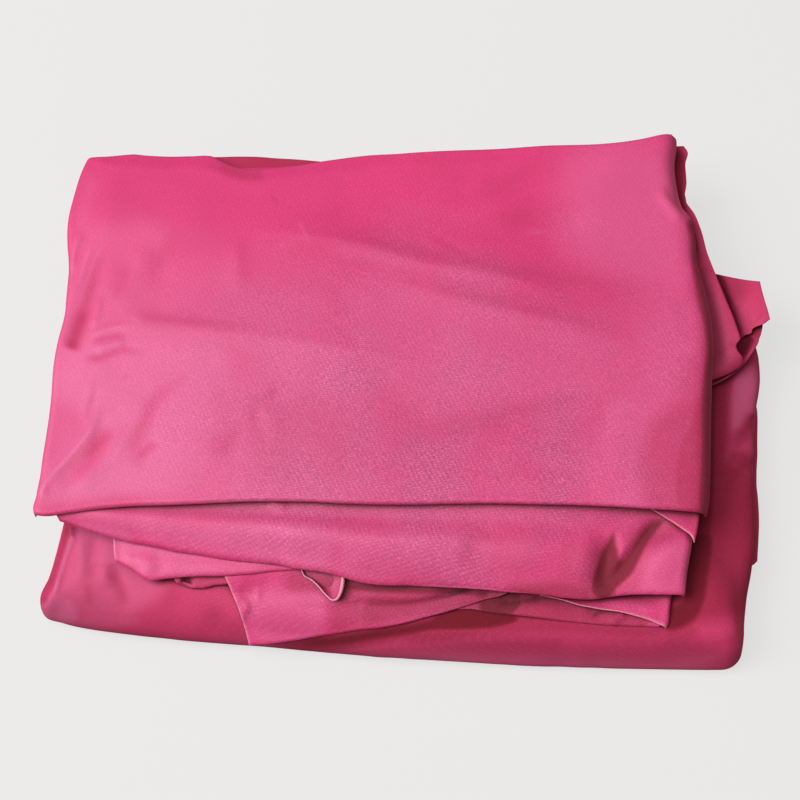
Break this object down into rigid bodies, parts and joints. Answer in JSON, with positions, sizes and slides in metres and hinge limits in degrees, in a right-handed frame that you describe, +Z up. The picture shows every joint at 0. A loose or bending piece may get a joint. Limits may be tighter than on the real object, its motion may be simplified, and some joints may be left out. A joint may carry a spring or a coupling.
{
  "type": "folded aerial yoga hammock",
  "caption": "Wide sheet of stretchy knitted nylon for aerial yoga, folded into a soft rectangular pack of leaves whose packets and loose corners unfold about their fold lines.",
  "frame": {"origin": "middle of the pack's outline, on the surface that it lies on", "axes": "+X along the pack's long side to the right, +Y to the back, +Z up; the front is the side where the loose tongues and the hanging corner are"},
  "size_m": [0.4186, 0.318, 0.065],
  "materials": {
    "tricot": "hot-pink knitted nylon, soft directional sheen, fine diagonal ribs",
    "selvedge": "paler, denser knitted edge of the same cloth"
  },
  "bodies": {
    "base_packet": {"base_leaf_1": "tricot", "base_leaf_2": "tricot", "base_leaf_3": "tricot", "base_leaf_4": "tricot", "base_leaf_5": "tricot", "front_flap_root": "tricot"},
    "upper_packet": {"lower_leaf": "tricot", "left_tongue": "tricot", "right_tongue": "tricot", "front_tongue": "tricot", "side_leaf": "tricot", "inner_leaf": "tricot", "under_panel_leaf": "tricot", "side_fold": "tricot", "selvedge_curl": "selvedge"},
    "panel": {"top_panel": "tricot"},
    "front_corner": {"front_flap": "tricot"},
    "right_corner": {"side_corner": "tricot"}
  },
  "joints": [
    {"name": "upper_fold", "type": "hinge", "parent": "base_packet", "child": "upper_packet", "pos_m": [0, 0.1605, 0.0354], "axis": [-1, 0, 0], "range_deg": [0, 176]},
    {"name": "panel_fold", "type": "hinge", "parent": "upper_packet", "child": "panel", "pos_m": [0, -0.0906, 0.05935], "axis": [1, 0, 0], "range_deg": [0, 172]},
    {"name": "front_corner_fold", "type": "hinge", "parent": "base_packet", "child": "front_corner", "pos_m": [-0.045, -0.1295, 0.0314], "axis": [-0.9977, 0.0678, 0], "range_deg": [0, 80]},
    {"name": "right_corner_fold", "type": "hinge", "parent": "upper_packet", "child": "right_corner", "pos_m": [0.191, 0.04, 0.0408], "axis": [0, -1, 0], "range_deg": [0, 50]}
  ]
}
